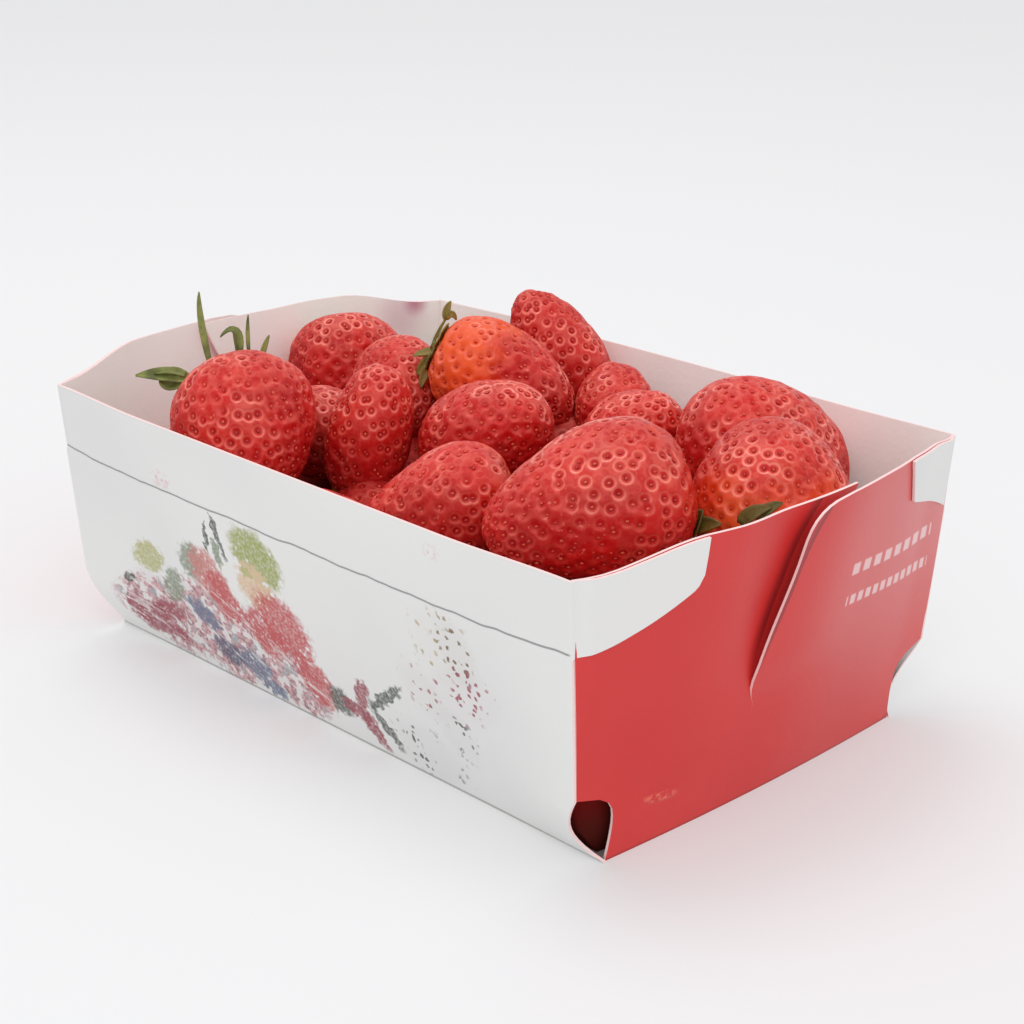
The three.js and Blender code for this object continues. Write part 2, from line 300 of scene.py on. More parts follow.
def printed_colour(tree, paper):
    """The fruit printed on the long walls, and the splash of specks beside it."""
    across, up = print_place(tree)
    flat = tree.vector(across, up, 0.0)
    ragged = tree.node("ShaderNodeTexNoise", {}, {"Vector": flat, "Scale": 0.45, "Detail": 3.0})["Color"]
    place = flat + (ragged - (0.5, 0.5, 0.5)) * 4.2
    fine = tree.noise(flat, 1.1, 3.0)
    gaps = tree.noise(flat, 0.34, 3.0, 6.0).between(0.5, 0.56)
    colour = tree.mix(paper, small_fruit(tree, flat), heap_of_fruit(tree, place) * (0.85 - gaps * 0.7))
    for ink, at, size, turn in PRINTED_FRUIT:
        inked = patch(tree, place, at, size, turn, 0.2)
        colour = tree.mix(colour, ink, inked * (0.62 + fine.between(0.35, 0.6) * 0.34))
    streaks = tree.noise(tree.vector(across * 0.5 + up, up * 0.25 - across * 0.1, 0.0), 0.8, 3.0, 3.0)
    drops = tree.node("ShaderNodeTexVoronoi", {}, {"Vector": flat, "Scale": 0.7})["Distance"]
    washed = streaks.between(0.56, 0.66).apply("MAXIMUM", (1 - drops.between(0.14, 0.26)) * 0.8)
    colour = tree.mix(colour, paper, washed * heap_of_fruit(tree, flat) * 0.6)
    return splash(tree, colour, flat)


def heap_of_fruit(tree, place):
    """1 within the outline of the printed heap."""
    left = patch(tree, place, (-56, 11), (34, 21), -8, 0.15)
    middle = patch(tree, place, (-36, 13), (38, 26), -14, 0.15)
    right = patch(tree, place, (-14, 12), (34, 22), -28, 0.15)
    return left.apply("MAXIMUM", middle).apply("MAXIMUM", right)


def small_fruit(tree, flat):
    """A jumble of little fruits, pink, dark red and blue."""
    kinds = tree.noise(flat, 0.24, 2.0, 1.0)
    fine = tree.noise(flat, 0.9, 3.0, 2.0)
    colour = tree.mix(srgb(204, 150, 154), srgb(158, 84, 96), fine.between(0.4, 0.62))
    colour = tree.mix(colour, srgb(150, 152, 158), kinds.between(0.56, 0.64))
    return tree.mix(colour, srgb(88, 72, 78), (fine - kinds * 0.4).between(0.34, 0.46) * 0.6)


def splash(tree, colour, flat):
    """Loose specks, ochre at the top, pink at the side and dark green at the foot."""
    cells = tree.node("ShaderNodeTexVoronoi", {}, {"Vector": flat, "Scale": 0.55})
    ragged = tree.noise(flat, 0.8, 3.0)
    speck = 1 - (cells["Distance"] + (ragged - 0.5) * 1.3).between(0.22, 0.36)
    sparse = tree.noise(flat, 0.16, 2.0, 4.0).between(0.42, 0.52)
    for ink, at, size, turn in (
        (srgb(178, 156, 112), (47, 38), (18, 18), 10),
        (srgb(120, 96, 84), (51, 38), (10, 16), 20),
        (srgb(158, 72, 92), (50, 27), (24, 13), 20),
        (srgb(74, 78, 74), (34, 7), (22, 13), -10),
        (srgb(150, 72, 66), (37, 24), (10, 14), 40),
        (srgb(74, 78, 74), (46, 16), (10, 12), 40),
    ):
        inked = patch(tree, flat, at, size, turn, 0.35) * (speck * sparse * 0.86 + 0.05)
        colour = tree.mix(colour, ink, inked)
    for at, size in (((-44, 50.7), (6, 4)), ((48, 60), (4, 3))):
        spot = patch(tree, flat, at, size, 0, 0.6) * ragged.between(0.45, 0.6)
        colour = tree.mix(colour, srgb(222, 176, 184), spot * 0.7)
    return colour


def score_line(tree):
    """1 on the thin line along which the upper band of a long wall is scored. The groove is in the
    relief, and the line's dark colour is painted shadow.
    """
    across, up = print_place(tree)
    turned_up = (across / 84) ** 6.0 * 1.2
    wander = tree.noise(tree.vector(across, 0.0, 0.0), 0.08, 2.0) - 0.5
    off = (up - 48.0 - turned_up - wander * 1.9).apply("ABSOLUTE")
    inside = 1 - across.apply("ABSOLUTE").between(83, 84)
    return (1 - off.between(0.08, 0.3)) * inside


def white_board(tree):
    fibre = tree.noise(object_place(tree), 900, 3.0)
    cloudy = tree.noise(object_place(tree), 14, 2.0)
    paper = tree.mix(srgb(224, 224, 223), srgb(230, 230, 228), cloudy.between(0.35, 0.65))
    line = score_line(tree)
    # The dark grey along the score is painted shadow.
    colour = tree.mix(printed_colour(tree, paper), srgb(128, 128, 132), line * 0.8)
    _, up = print_place(tree)
    # Painted shadow along the fold at the wall's foot: a grey strip at the bottom.
    colour = tree.mix(colour, srgb(150, 148, 144), (1 - up.between(0.25, 0.9)) * 0.8)
    return {
        "Base Color": colour,
        "Roughness": 0.44 + fibre * 0.12,
        "Normal": relief(tree, fibre * 0.06 - line, 0.0002),
        "Coat Weight": 0.08,
        "Coat Roughness": 0.3,
    }


def plain_marks(tree, across, up):
    """Two rows of plain dashes on the red end."""
    rows = None
    for foot, start, stop, pitch, height in ((46.9, 13, 53, 4.7, 3.2), (39.3, 15, 53.5, 3.3, 2.8)):
        level = up - foot + (across - start) * 0.08
        row = level.between(0, 0.5) * (1 - level.between(height - 0.5, height))
        row = row * across.between(start, start + 0.4) * (1 - across.between(stop, stop + 0.4))
        step = (across / pitch).apply("FRACT")
        row = row * step.between(0.1, 0.2) * (1 - step.between(0.72, 0.84))
        rows = row if rows is None else rows + row
    return rows


def red_board(tree):
    across, up = print_place(tree)
    fibre = tree.noise(object_place(tree), 900, 3.0)
    cloudy = tree.noise(object_place(tree), 20, 3.0)
    red = tree.mix(srgb(208, 30, 30), srgb(215, 40, 38), cloudy.between(0.35, 0.65))
    colour = tree.mix(red, srgb(236, 196, 196), plain_marks(tree, across, up) * 0.85)
    crumple = patch(tree, tree.vector(across, up, 0.0), (-34, 10.5), (9, 2.4), -8, 0.4)
    creases = tree.noise(object_place(tree), 700, 3.0)
    # Painted shadow on the inner flap beside the slit, where the outer flap stands over it.
    slit = SLIT_Y - SLIT_LEAN + up.between(30, 60) * SLIT_LEAN
    behind = across - slit - (up - 54).apply("MAXIMUM", 0) ** 2 * 0.03
    hollow = behind.between(-3.4, 0.2) * (1 - behind.between(0.3, 0.9)) * up.between(28, 44)
    colour = tree.mix(colour, srgb(140, 4, 14), hollow * 0.85)
    # Painted shadow along the fold at the wall's foot: darker red at the bottom.
    colour = tree.mix(colour, srgb(150, 20, 20), (1 - up.between(0.25, 0.9)) * 0.6)
    return {
        "Base Color": tree.mix(colour, srgb(240, 128, 100), crumple * creases.between(0.48, 0.58) * 0.6),
        "Roughness": 0.4 + fibre * 0.12,
        "Normal": relief(tree, fibre * 0.1 + crumple * creases * 2, 0.0002),
        "Coat Weight": (0.24 + across.between(-6, 24) * 0.66) * (0.5 + up.between(4, 44) * 0.5),
        "Coat Roughness": 0.3,
    }


# The juice stain on the inside, in metres: middle, reach and depth of each part of it
STAINS = [((-0.087, 0.0535, 0.0645), 0.005, 0.9), ((-0.088, 0.049, 0.061), 0.011, 0.4)]


def bare_board(tree):
    """The inside, stained by juice in one corner, with painted shade just above the floor and a faint
    painted glow.
    """
    fibre = tree.noise(object_place(tree), 700, 4.0)
    cloudy = tree.noise(object_place(tree), 30, 3.0)
    colour = tree.mix(srgb(246, 243, 238), srgb(252, 250, 246), cloudy.between(0.3, 0.7))
    for at, size, depth in STAINS:
        near = 1 - (object_place(tree) - at).length().between(size * 0.1, size)
        colour = tree.mix(colour, srgb(190, 104, 134), near * cloudy.between(0.1, 0.7) * depth)
    height = object_place(tree).parts()[2]
    # Painted shade, dark red-brown, on the inside just above the floor.
    shade_above_floor = height.between(0.0002, 0.0006) * (1 - height.between(0.005, 0.014))
    colour = tree.mix(colour, srgb(92, 30, 26), shade_above_floor * 0.9)
    return {
        "Base Color": colour,
        # Painted light: a faint glow that lightens the inside.
        "Emission Color": (1.0, 0.97, 0.95, 1.0),
        "Emission Strength": 0.04,
        "Roughness": 0.7,
        "Normal": relief(tree, fibre, 0.0001),
    }


def cut_edge(tree):
    """The board's cut edge, coloured pale pink."""
    fibre = tree.noise(object_place(tree), 1500, 2.0)
    return {"Base Color": tree.mix(srgb(244, 206, 204), srgb(252, 222, 219), fibre), "Roughness": 0.7}


def strawberry_skin(tree):
    """Deep red, with a painted sheen on top and painted shade low in the heap; in patches the pits hold
    painted shade and their glossy rims painted highlights.
    """
    where = object_place(tree)
    pit = tree.node("ShaderNodeAttribute", {"attribute_name": "pit"})["Fac"]
    unripe = tree.node("ShaderNodeAttribute", {"attribute_name": "unripe"})["Fac"]
    patches = tree.noise(where, 70, 2.0)
    fine = tree.noise(where, 1400, 2.0)
    mottled = tree.noise(where, 420, 2.0, 3.0)
    netted = tree.noise(where, 75, 2.0, 5.0).between(0.43, 0.6)
    up = tree.node("ShaderNodeNewGeometry")["Normal"].parts()[2]
    # Painted shade: berries low in the heap are darker.
    deep = 1 - where.parts()[2].between(0.042, 0.062)
    # Painted sheen: lighter and hazier on faces turned up towards the lamps.
    top_sheen = up.between(0.0, 0.9) * (1 - deep * 0.8)
    red = tree.mix(srgb(182, 5, 10), srgb(208, 16, 14), patches.between(0.35, 0.65))
    red = tree.mix(red, srgb(158, 4, 8), deep * 0.6)
    red = tree.mix(red, srgb(226, 84, 74), top_sheen * (0.08 + mottled.between(0.4, 0.62) * 0.3))
    red = tree.mix(red, srgb(236, 84, 26), unripe)
    cells = tree.node("ShaderNodeTexVoronoi", {}, {"Vector": where, "Scale": 560})["Distance"]
    # Painted highlights: fine pale specks, stronger on top faces.
    grain = (cells + (fine - 0.5) * 0.5).between(0.34, 0.62) - 0.35
    red = tree.mix(red, srgb(242, 112, 96), grain * (0.12 + top_sheen * 0.34))
    # Painted shade in the pits: their middles are darker.
    sunk = (1 - pit.between(0.16, 0.5)) * (0.15 + netted * 0.7)
    red = tree.mix(red, srgb(140, 4, 12), sunk * (1 - unripe * 0.5))
    # Painted highlights on the pits' rims, strongest in netted patches and on top faces.
    edge = pit + (mottled - 0.5) * 0.16
    ring = edge.between(0.5, 0.64) * (1 - edge.between(0.74, 0.92) * 0.85)
    glint = ring * (0.08 + netted * 0.92) * (0.25 + top_sheen * 0.75)
    # Painted glints: short pale dashes outside the netted patches.
    dashes = tree.noise(where, 760, 1.0).between(0.66, 0.71) * (1 - netted) * 0.45
    return {
        "Base Color": tree.mix(red, srgb(248, 134, 114), (glint * 0.8).apply("MAXIMUM", dashes)),
        "Roughness": 0.42 + fine * 0.12 + deep * 0.25,
        "Normal": relief(tree, fine, 0.00008),
        "Coat Weight": (0.08 + glint * 0.6) * (1 - deep),
        "Coat Roughness": 0.18,
        "Specular IOR Level": 0.22,
    }


def strawberry_seed(tree):
    tint = tree.noise(object_place(tree), 350, 1.0)
    colour = tree.mix(srgb(196, 40, 34), srgb(226, 92, 66), tint.between(0.4, 0.62))
    return {"Base Color": colour, "Roughness": 0.4}


def green_leaf(tree):
    where = object_place(tree)
    tint = tree.noise(where, 180, 2.0)
    veins = tree.noise(where, 900, 2.0)
    colour = tree.mix(srgb(84, 92, 34), srgb(140, 146, 74), tint.between(0.35, 0.65))
    straw = (where.parts()[0] + 0.043).between(0.0, 0.006)
    colour = tree.mix(colour, srgb(146, 120, 48), straw * tint.between(0.3, 0.6))
    colour = tree.mix(colour, srgb(92, 74, 26), where.parts()[0].between(0.04, 0.06) * 0.7)
    return {
        "Base Color": tree.mix(colour, srgb(60, 62, 22), veins.between(0.55, 0.75) * 0.5),
        "Roughness": 0.55,
        "Normal": relief(tree, veins, 0.0002),
    }


def core_shade(tree):
    # The core's dark red is painted shade, standing in for the shaded berries deep in the heap.
    tint = tree.noise(object_place(tree), 80, 2.0)
    colour = tree.mix(srgb(104, 8, 8), srgb(140, 12, 12), tint)
    # Painted shade: darker still towards the floor.
    low = 1 - object_place(tree).parts()[2].between(0.006, 0.02)
    return {
        "Base Color": tree.mix(colour, srgb(66, 20, 14), low * 0.9),
        "Roughness": 0.8,
        "Specular IOR Level": 0.08,
    }


# ---- the shape of the tray; every function takes numbers or arrays ----

def smooth(value, low, high):
    part = np.clip((value - low) / (high - low), 0, 1)
    return part * part * (3 - 2 * part)


def blend_to(first, second, amount):
    return first + (second - first) * amount


def rise(level):
    return np.clip(level / RIM_HEIGHT, 0, 1)


def corner_x(level):
    return blend_to(BASE_LENGTH, RIM_LENGTH, rise(level)) / 2


def corner_y(level):
    part = rise(level)
    flare = np.sin(math.pi / 2 * np.minimum(part / CORNER_FLARE_TOP, 1))
    above = np.clip((part - CORNER_FLARE_TOP) / (1 - CORNER_FLARE_TOP), 0, 1)
    return BASE_WIDTH / 2 + CORNER_FLARE * flare + ((RIM_WIDTH - BASE_WIDTH) / 2 - CORNER_FLARE) * above


def long_wall_y(x, level, bow):
    """Outer face of a long wall, as a distance from the middle."""
    part = rise(level)
    middle = BASE_WIDTH / 2 + BELLY * (1 - (1 - part) ** BELLY_POWER)
    fade = smooth(np.abs(x), BELLY_FADE_FROM, BASE_LENGTH / 2)
    bowed = bow * part * np.maximum(0, 1 - (2 * x / RIM_LENGTH) ** 2)
    return blend_to(middle, corner_y(level), fade) + bowed


def end_wall_x(y, level):
    """Outer face of an end wall, as a distance from the middle."""
    base = BASE_BOW * np.maximum(0, 1 - (2 * y / BASE_WIDTH) ** 2)
    bulge = END_BULGE * np.maximum(0, 1 - (2 * y / RIM_WIDTH) ** 2) ** 0.9
    return corner_x(level) + base + bulge * (level / RIM_HEIGHT)


def end_level(y, level):
    """A level on an end wall, which rises with its top edge."""
    return level + END_RISE * (1 - smooth(np.abs(y), END_RISE_TO, END_RISE_FROM)) * rise(level) ** 2


def tuck(y, level):
    """How far the inner flap tucks in beside the slit."""
    return INNER_FLAP_TUCK * smooth(level, SLIT_FOOT, 50) * smooth(y, -26, -9)


def proud(y, level):
    """How far the outer flap stands out beside the slit."""
    return OUTER_FLAP_PROUD * smooth(level, SLIT_FOOT, 36) * (1 - smooth(y, SLIT_Y, 24))


def end_side_y(level):
    """The side of an end wall, drawn in at the notch."""
    up = np.clip(level / NOTCH_HEIGHT, 0, 1)
    spread = (corner_y(NOTCH_HEIGHT) - BASE_WIDTH / 2) * up ** 9
    drawn = BASE_WIDTH / 2 - 0.8 * np.sin(math.pi * up) + spread
    return corner_y(level) if level >= NOTCH_HEIGHT else drawn


def long_wall_end_x(level):
    """The end of a long wall, cut away at the notch."""
    end = corner_x(level) + BOARD
    up = min(level / NOTCH_HEIGHT, 1)
    return end - NOTCH_IN_LONG_WALL * math.sin(math.pi * up ** 0.7)


def slit_y(level):
    """The slit leans, and curls over at its foot."""
    hook = SLIT_HOOK * np.clip((31 - level) / (31 - SLIT_FOOT), 0, 1) ** 2
    return SLIT_Y - SLIT_LEAN * (1 - smooth(level, 30, 60)) + hook


def outer_flap_edge(level):
    up = np.clip((level - OUTER_FLAP_SHOULDER) / (RIM_HEIGHT - OUTER_FLAP_SHOULDER), 0, 1)
    return slit_y(level) + OUTER_FLAP_ROUND * (1 - np.cbrt(1 - up ** 3))


def inner_flap_edge(level):
    up = np.clip((level - SLIT_FOOT) / (RIM_HEIGHT - SLIT_FOOT), 0, 1)
    return slit_y(level) + 2 * smooth(level, SLIT_FOOT, SLIT_FOOT + 4) + INNER_FLAP_REACH * up


def corner_lift(x, y, level):
    """The end wall stands a little higher beside one far corner."""
    by_corner = smooth(x, 50, RIM_LENGTH / 2) * rise(level) ** 3
    return by_corner * (0.9 * smooth(y, 36, 60) + 1.3 * np.exp(-((y - 50) / 9) ** 2))


# ---- the tray ----

# The outside's finishes by number, and how many faces each panel has across
WHITE, RED = 0, 3
LONG_WALL_COLUMNS = 60
LOBE_COLUMNS = 30
INNER_FLAP_COLUMNS = 24
OUTER_FLAP_COLUMNS = 28
FLOOR_COLUMNS = 16
FLOOR_ROWS = 24


def steps(start, stop, count):
    return [start + (stop - start) * i / count for i in range(1, count + 1)]


WALL_LEVELS = [0] + steps(0, NOTCH_HEIGHT, 10) + steps(NOTCH_HEIGHT, LOBE_FOOT, 12)
BAND_LEVELS = steps(LOBE_FOOT, RIM_HEIGHT, 6)
FLAP_LEVELS = [0] + steps(0, NOTCH_HEIGHT, 10) + steps(NOTCH_HEIGHT, SLIT_FOOT, 2)
FLAP_LEVELS += steps(SLIT_FOOT, OUTER_FLAP_SHOULDER, 16) + [56, 58, 60, 61.5, 62.8, 63.6, 64.1, 64.4]


def add_sheet(shell, columns, rows, place, finish_number, turned):
    """Adds quads; place(i, j) gives a point of the outside and its distance across the print."""
    layer = shell.loops.layers.uv["print"]
    side = -1 if turned else 1
    spots = [[place(i, j) for i in range(columns + 1)] for j in range(rows + 1)]

    def corner(x, y, z):
        x, y = side * x, side * y
        return shell.verts.new((x, y, z + corner_lift(x, y, z)))

    corners = [[corner(*point) for point, _ in row] for row in spots]
    for j in range(rows):
        for i in range(columns):
            ring = ((i, j), (i + 1, j), (i + 1, j + 1), (i, j + 1))
            face = shell.faces.new([corners[b][a] for a, b in ring])
            face.material_index = finish_number
            for loop, (a, b) in zip(face.loops, ring):
                point, across = spots[b][a]
                loop[layer].uv = (0.5 + across / PRINT_SPAN, point[2] / PRINT_SPAN)


def add_long_wall(shell, bow, turned):
    levels = WALL_LEVELS + BAND_LEVELS
    columns = LONG_WALL_COLUMNS

    def place(i, j):
        x = long_wall_end_x(levels[j]) * (2 * i / columns - 1)
        return (x, -long_wall_y(x, levels[j], bow), levels[j]), x

    add_sheet(shell, columns, len(levels) - 1, place, WHITE, turned)


def long_lobe_foot(along):
    return LOBE_FOOT + 10 * along ** 1.8 + 2 * smooth(along, 0.94, 1) ** 2


def short_lobe_foot(along):
    return LOBE_FOOT + 9 * along


def lobe_point(side, length, foot, along, up):
    """A point of a lobe of the +X end; along and up run from 0 to 1, side is -1 or +1 in Y."""
    y = side * (corner_y(RIM_HEIGHT) - length * along)
    top = end_level(y, RIM_HEIGHT) - LOBE_BELOW_EDGE * smooth(along, 0, 1)
    level = blend_to(foot(along), top, up)
    y += side * (corner_y(level) - corner_y(RIM_HEIGHT)) * (1 - along)
    x = blend_to(corner_x(level), end_wall_x(y, level) + 0.15, smooth(along, 0, 0.15)) + BOARD
    return x, y, level


def add_lobes(shell, turned):
    """The lobes at both ends of one long wall: long at its right end, short at its left."""
    columns, rows = LOBE_COLUMNS, len(BAND_LEVELS)
    reach = RIM_LENGTH / 2

    def right(i, j):
        along = i / columns
        point = lobe_point(-1, LOBE_LONG, long_lobe_foot, along, j / rows)
        return point, reach + LOBE_LONG * along

    def left(i, j):
        along = 1 - i / columns
        length = LOBE_SHORT + LOBE_SHORT_SLANT * j / rows
        x, y, z = lobe_point(1, length, short_lobe_foot, along, j / rows)
        return (-x, -y, z), -reach - length * along

    add_sheet(shell, columns, rows, right, WHITE, turned)
    add_sheet(shell, columns, rows, left, WHITE, turned)


def add_end_wall(shell, turned):
    """Two flaps with one seam below the slit; above it the outer one laps over the inner one."""
    def inner(i, j):
        level = FLAP_LEVELS[j]
        y = blend_to(0.7 - end_side_y(level), inner_flap_edge(level), i / INNER_FLAP_COLUMNS)
        z = end_level(y, level)
        return (end_wall_x(y, z) - tuck(y, z), y, z), y

    def outer(i, j):
        level = FLAP_LEVELS[j]
        y = blend_to(outer_flap_edge(level), end_side_y(level) - 0.35, i / OUTER_FLAP_COLUMNS)
        z = end_level(y, level)
        return (end_wall_x(y, z) + proud(y, z), y, z), y

    rows = len(FLAP_LEVELS) - 1
    add_sheet(shell, INNER_FLAP_COLUMNS, rows, inner, RED, turned)
    add_sheet(shell, OUTER_FLAP_COLUMNS, rows, outer, RED, turned)


def add_floor(shell):
    def place(i, j):
        y = BASE_WIDTH * (i / FLOOR_COLUMNS - 0.5)
        x = end_wall_x(y, 0) * (2 * j / FLOOR_ROWS - 1)
        return (x, y, 0), 0

    add_sheet(shell, FLOOR_COLUMNS, FLOOR_ROWS, place, WHITE, False)


def tray():
    """The folded blank: its outside, thickened inwards by the board."""
    shell = bmesh.new()
    shell.loops.layers.uv.new("print")
    for bow, turned in ((0, False), (FAR_BOW, True)):
        add_long_wall(shell, bow, turned)
        add_lobes(shell, turned)
        add_end_wall(shell, turned)
    add_floor(shell)
    bmesh.ops.remove_doubles(shell, verts=shell.verts, dist=0.01)
    mesh = mesh_from("tray", shell)
    bare = finish("board_bare", bare_board)
    edge = finish("board_cut_edge", cut_edge)
    for outside in (finish("board_white", white_board), finish("board_red", red_board)):
        for material in (outside, bare, edge):
            mesh.materials.append(material)
    holder = add_object("tray", mesh)
    fold = holder.modifiers.new("fold", "BEVEL")
    fold.limit_method = "ANGLE"
    fold.angle_limit = math.radians(40)
    fold.width = FOLD_ROUND
    fold.segments = 2
    wall = holder.modifiers.new("wall", "SOLIDIFY")
    wall.thickness = BOARD
    wall.offset = -1
    wall.use_even_offset = True
    wall.material_offset = 1
    wall.material_offset_rim = 2
    made = evaluated(holder)
    made.shade_smooth()
    made.set_sharp_from_angle(angle=math.radians(32))
    return piece("tray_board", in_metres(made))


# ---- pieces ----

def add_object(name, data):
    made = bpy.data.objects.new(name, data)
    bpy.context.scene.collection.objects.link(made)
    return made


def mesh_from(name, built):
    """A mesh of what bmesh built, which is freed."""
    mesh = bpy.data.meshes.new(name)
    built.to_mesh(mesh)
    built.free()
    return mesh


def in_metres(mesh):
    """Moves a mesh from millimetres about the tray's base to the finished frame."""
    mesh.transform(Matrix.Scale(MM, 4) @ Matrix.Translation((0, -FAR_BOW / 2, 0)))
    return mesh


def evaluated(holder):
    """The plain mesh that an object's modifiers make; the object is removed."""
    graph = bpy.context.evaluated_depsgraph_get()
    mesh = bpy.data.meshes.new_from_object(holder.evaluated_get(graph))
    bpy.data.objects.remove(holder)
    return mesh


def piece(name, mesh):
    made = add_object(name, mesh)
    mesh.name = name
    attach(made, "root")
    return made


def joined(meshes):
    """One mesh of several, which keeps their materials and attributes."""
    holders = [add_object("part", mesh) for mesh in meshes]
    with bpy.context.temp_override(active_object=holders[0], selected_editable_objects=holders):
        bpy.ops.object.join()
    mesh = holders[0].data
    bpy.data.objects.remove(holders[0])
    return mesh


# ---- strawberries and their green caps ----

SHAPE_INPUTS = {
    "Length": 35.0, "Width": 30.0, "Taper": 0.3, "Flatness": 0.96, "Lumps": 0.8, "Turn": 0.0,
}


def new_tree(name, inputs):
    group = bpy.data.node_groups.new(name, "GeometryNodeTree")
    group.interface.new_socket("Geometry", in_out="OUTPUT", socket_type="NodeSocketGeometry")
    for title, value in inputs.items():
        kind = "NodeSocketInt" if isinstance(value, int) else "NodeSocketFloat"
        socket = group.interface.new_socket(title, in_out="INPUT", socket_type=kind)
        socket.default_value = value
    tree = Tree(group)
    given = tree.node("NodeGroupInput")
    return tree, {title: given[title] for title in inputs}


def end_tree(tree, parts):
    whole = tree.node("GeometryNodeJoinGeometry", {}, {"Geometry": parts})["Geometry"]
    tree.node("NodeGroupOutput", {}, {"Geometry": whole})
    return tree.group


def moved(tree, geometry, **values):
    return tree.node("GeometryNodeSetPosition", {}, {"Geometry": geometry, **values})["Geometry"]


def smoothed(tree, geometry):
    return tree.node("GeometryNodeSetShadeSmooth", {}, {"Geometry": geometry})["Geometry"]


def stored(tree, name, kind):
    return tree.node("GeometryNodeInputNamedAttribute", {"data_type": kind}, {"Name": name})["Attribute"]


def painted(tree, geometry, material):
    real = tree.node("GeometryNodeRealizeInstances", {}, {"Geometry": geometry})["Geometry"]
    return tree.node("GeometryNodeSetMaterial", {}, {"Geometry": real, "Material": material})["Geometry"]


def grown(group, settings):
    """The mesh that a tree makes from the settings."""
    holder = add_object("grown", bpy.data.meshes.new("grown"))
    modifier = holder.modifiers.new("shape", "NODES")
    modifier.node_group = group
    for item in group.interface.items_tree:
        if item.in_out == "INPUT" and item.name in settings:
            modifier[item.identifier] = settings[item.name]
    return evaluated(holder)


def berry_form(tree, way, given):
    """Where the skin lies in a direction from the berry's middle; its tip points along +Z."""
    x, y, z = way.parts()
    ring = (1 - z * z).apply("MAXIMUM", 0.0004).apply("SQRT")
    girth = given["Width"] * 0.5 * ring ** SHOULDER * (1 - given["Taper"] * 0.8 * z)
    hollow = (1 - ring.between(0.0, 0.4)) * (1 - z.between(-0.9, 0.0)) * given["Width"] * 0.05
    skin = tree.vector(girth * x / ring, girth * y / ring * given["Flatness"],
                       given["Length"] * 0.5 * z + hollow)
    swell = tree.noise(way, 1.5, 1.5, given["Turn"]) - 0.5
    return skin + way * (swell * given["Lumps"] * 2.4)


def seed_ways(tree, given):
    """Directions spread round the berry in a spiral, a little uneven."""
    number = tree.node("GeometryNodeInputIndex")["Index"]
    z = 1 - (number * 2 + 1) / given["Seeds"]
    ring = (1 - z * z).apply("MAXIMUM", 0.0004).apply("SQRT")
    angle = number * GOLDEN_TURN + given["Turn"]
    even = tree.vector(ring * angle.apply("COSINE"), ring * angle.apply("SINE"), z)
    stray = tree.node("FunctionNodeRandomValue", {"data_type": "FLOAT_VECTOR"},
                      {"Min": (-1, -1, -1), "Max": (1, 1, 1), "ID": number, "Seed": 7})["Value"]
    return tree.vectors("NORMALIZE", even + stray * given["Stray"])


def strawberry_tree(skin, seed):
    """A berry: a lumpy skin with a pit for each seed, and the seeds."""
    tree, given = new_tree("strawberry", {
        **SHAPE_INPUTS, "Seeds": 220, "Stray": 0.05, "Pit reach": 2.0, "Pit depth": 0.55,
        "Unripe": 0.0, "Detail": 50})
    detail = given["Detail"]
    cube = tree.node("GeometryNodeMeshCube", {}, {
        "Vertices X": detail, "Vertices Y": detail, "Vertices Z": detail})["Mesh"]
    position = tree.node("GeometryNodeInputPosition")["Position"]
    spread = tree.vectors("TANGENT", position * (math.pi / 2))
    way = tree.vectors("NORMALIZE", spread)
    kept = store(tree, cube, "way", way, "FLOAT_VECTOR")
    way = stored(tree, "way", "FLOAT_VECTOR")
    smooth_skin = moved(tree, kept, Position=berry_form(tree, way, given))
    normal = tree.node("GeometryNodeInputNormal")["Normal"]
    spots = tree.node("GeometryNodePoints", {}, {
        "Count": given["Seeds"], "Position": berry_form(tree, seed_ways(tree, given), given)})[0]

    distance = tree.node("GeometryNodeProximity", {"target_element": "POINTS"},
                         {"Geometry": spots, "Sample Position": position})["Distance"]
    reach = given["Pit reach"]
    level = distance.between(reach * 0.15, reach)
    skin_way = way.parts()[2]
    uneven = tree.noise(way, 2.2, 2.0, given["Turn"] + 3) - 0.5
    shade = (given["Unripe"] - skin_way * 0.9 - 0.6 + uneven * 0.9).between(0.0, 0.7)
    pitted = store(tree, smooth_skin, "pit", distance / reach)
    pitted = store(tree, pitted, "unripe", shade)
    pitted = smoothed(tree, moved(tree, pitted, Offset=normal * ((level - 1) * given["Pit depth"])))

    facing = tree.node("GeometryNodeSampleNearestSurface", {"data_type": "FLOAT_VECTOR"}, {
        "Mesh": smooth_skin, "Value": normal, "Sample Position": position})["Value"]
    sunk = moved(tree, spots, Offset=facing * (0.12 - given["Pit depth"]))
    upright = tree.node("FunctionNodeAlignRotationToVector", {"axis": "Z"},
                        {"Vector": facing})["Rotation"]
    turned = tree.node("FunctionNodeAlignRotationToVector", {"axis": "X", "pivot_axis": "Z"},
                       {"Rotation": upright, "Vector": (0.0, 0.0, 1.0)})["Rotation"]
    grain = tree.node("GeometryNodeMeshUVSphere", {}, {"Segments": 5, "Rings": 3, "Radius": 1.0})["Mesh"]
    grains = tree.node("GeometryNodeInstanceOnPoints", {}, {
        "Points": sunk, "Instance": smoothed(tree, grain), "Rotation": turned,
        "Scale": SEED_HALF_SIZE})["Instances"]
    return end_tree(tree, [painted(tree, pitted, skin), painted(tree, grains, seed)])


def store(tree, geometry, name, value, kind="FLOAT", domain="POINT"):
    return tree.node("GeometryNodeStoreNamedAttribute", {"data_type": kind, "domain": domain}, {
        "Geometry": geometry, "Name": name, "Value": value})["Geometry"]


